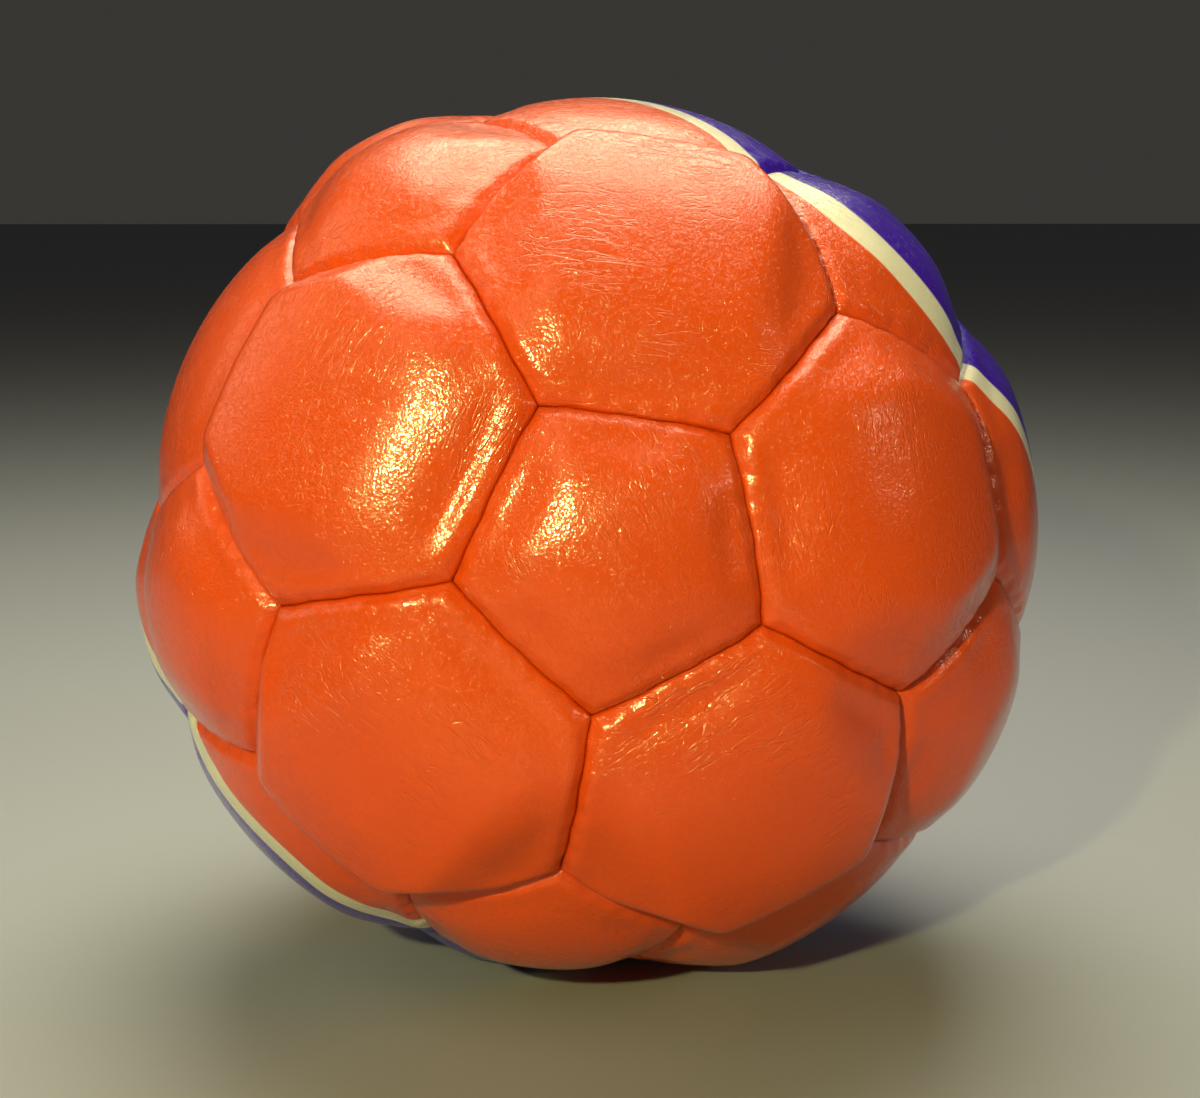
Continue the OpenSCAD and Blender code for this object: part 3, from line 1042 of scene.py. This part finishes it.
def gathered(points):
    """Pleats that deepen towards the neck and open out in the frill."""
    z = points[:, 2]
    azimuth = np.arctan2(points[:, 1], points[:, 0])
    depth = 0.035 * smooth_step((z - 12) / 26) + 0.05 * smooth_step((z - 40) / 6)
    depth += 0.10 * smooth_step((z - TIE_Z - 3) / (BAG_TOP - TIE_Z - 3))
    fold = np.cos(PLEATS * azimuth + 1.2 * np.sin(3 * azimuth)) - 0.6
    radial = 1 + depth * fold
    rim = 0.8 * np.sin(5 * azimuth) * smooth_step((z - TIE_Z - 4) / 6)
    out = np.stack([points[:, 0] * radial, points[:, 1] * radial, z + rim - 0.8], 1)
    return out + 0.25 * noise(points, 7, 12)[:, None] * unit(points)


throat = math.sqrt(BAG_R**2 - (NECK_R + 3) ** 2)
profile = [(0, -BAG_R + 0.4)] + arc(BAG_R - 0.3, -87, 72, 44)
profile += [(NECK_R + 3.2, throat), (NECK_R + 0.9, throat + 3.2)]
profile += [(NECK_R - 0.1, TIE_Z - 2.2), (NECK_R - 0.25, TIE_Z), (NECK_R - 0.1, TIE_Z + 2.2)]
profile += [(NECK_R + 2, TIE_Z + 5), (NECK_R + 4.6, BAG_TOP - 3), (FRILL_R, BAG_TOP - 0.2)]
profile += [(FRILL_R - 0.9, BAG_TOP), (NECK_R + 3.6, BAG_TOP - 3)]
profile += [(NECK_R + 0.5, TIE_Z + 5.4), (1.5, TIE_Z + 3.6), (0, TIE_Z + 3.4)]
outer_points, outer_faces = revolved(profile, 170, gathered)
outer_faces = outward(outer_faces, outer_points - CENTRE)
hollow = [(0, -SAND_R - 0.05)] + arc(SAND_R + 0.05, -87, 87, 40) + [(0, SAND_R + 0.05)]
hollow_points, hollow_faces = revolved(hollow, 96)
hollow_faces = [f[::-1] for f in outward(hollow_faces, hollow_points - CENTRE)]
canvas = cloth_material("canvas", (0.60, 0.53, 0.40), (0.36, 0.30, 0.21), 1.2)
parts = joined([(outer_points, outer_faces), (hollow_points, hollow_faces)])
piece = mesh_object("weight_bag_canvas", *parts)
finish_piece(piece, canvas, "canvas", "weight_bag")


def packed(points):
    return points - 0.35 * unit(points) * (1 + noise(points, 4, 21))[:, None] * 0.5


heap = [(0, -SAND_R)] + arc(SAND_R, -87, 87, 60) + [(0, SAND_R)]
turned_piece("sand_fill", heap, 110, packed, sand_material(), "sand", "sand")

# two strands laid round each other, drawn tight about the neck
TWISTS = 16
steps = np.arange(TWISTS * 12)
turn = steps / len(steps) * 2 * math.pi
twist = steps / 12 * 2 * math.pi
strands = []
for start in (0, math.pi):
    radius = TIE_R + TIE_THICK * 0.25 * np.cos(twist + start)
    height = TIE_Z + TIE_THICK * 0.25 * np.sin(twist + start)
    path = np.stack([radius * np.cos(turn), radius * np.sin(turn), height], 1) + CENTRE
    strands.append(tube(path, TIE_THICK * 0.25, 8, True))
piece = mesh_object("twine_tie", *joined(strands))
finish_piece(piece, thread_material("twine", (0.42, 0.28, 0.14)), "twine", "bag_tie")


# ---------------------------------------------------------------- floor, light and camera
def area_light(name, azimuth, elevation, distance, size, power, colour, shape="DISK"):
    """An area light that points at the ball's centre; distance and size in metres."""
    data = bpy.data.lights.new(name, "AREA")
    data.shape = shape
    data.size = size
    data.energy = power
    data.color = colour
    lamp = bpy.data.objects.new(name, data)
    bpy.context.scene.collection.objects.link(lamp)
    way = Vector(heading(azimuth, elevation))
    lamp.location = Vector(CENTRE * MM) + way * distance
    lamp.rotation_euler = (-way).to_track_quat("-Z", "Y").to_euler()
    return lamp


FLOOR_Z = -0.0002       # in metres: a hair below the ball, so that the two don't share a plane
floor_mesh = bpy.data.meshes.new("floor")
corners = [(x, y, FLOOR_Z) for x, y in ((-6, -6), (6, -6), (6, 6), (-6, 6))]
floor_mesh.from_pydata(corners, [], [(0, 1, 2, 3)])
floor = bpy.data.objects.new("floor", floor_mesh)
bpy.context.scene.collection.objects.link(floor)
plain = Nodes("pale_floor")
floor_mesh.materials.append(plain.principled(Base_Color=(0.27, 0.281, 0.36), Roughness=0.7))

world = bpy.data.worlds.new("studio")
bpy.context.scene.world = world
world.use_nodes = True
world.node_tree.nodes["Background"].inputs["Color"].default_value = (0.90, 0.84, 0.76, 1)
world.node_tree.nodes["Background"].inputs["Strength"].default_value = 0.045

# a gloss lamp shows in reflections only, which makes the highlights strong for their shading
area_light("key", -17, 21, 1.1, 0.040, 8.5, (1.0, 0.93, 0.30))
area_light("key_gloss", -17, 21, 1.1, 0.040, 9.0, (1.0, 0.93, 0.30)).visible_diffuse = False
area_light("front", -30, 46, 1.2, 0.6, 1.3, (1.0, 0.92, 0.50))
area_light("overhead", 180, 72, 0.8, 0.70, 9, (1.0, 0.95, 0.64), "SQUARE")
area_light("overhead_gloss", 180, 72, 0.8, 0.70, 26, (1.0, 0.97, 0.70), "SQUARE").visible_diffuse = False
area_light("left", -100, 30, 1.2, 0.7, 1.6, (1.0, 0.94, 0.60))
area_light("left_gloss", -100, 30, 1.2, 0.7, 4.0, (1.0, 0.94, 0.60)).visible_diffuse = False
area_light("side", 66, 20, 1.3, 0.20, 1.3, (1.0, 0.92, 0.62))

CAMERA_ELEVATION = 10
CAMERA_DISTANCE = 0.596
camera_data = bpy.data.cameras.new("camera")
camera_data.lens = 66
camera_data.sensor_width = 36
camera = bpy.data.objects.new("camera", camera_data)
bpy.context.scene.collection.objects.link(camera)
camera.location = Vector(CENTRE * MM) + Vector(heading(0, CAMERA_ELEVATION)) * CAMERA_DISTANCE
aim = Vector(CENTRE * MM) + Vector((0.0054, 0, -0.0033))
camera.rotation_euler = (aim - camera.location).to_track_quat("-Z", "Y").to_euler()
bpy.context.scene.camera = camera
bpy.context.scene.view_settings.view_transform = "Standard"
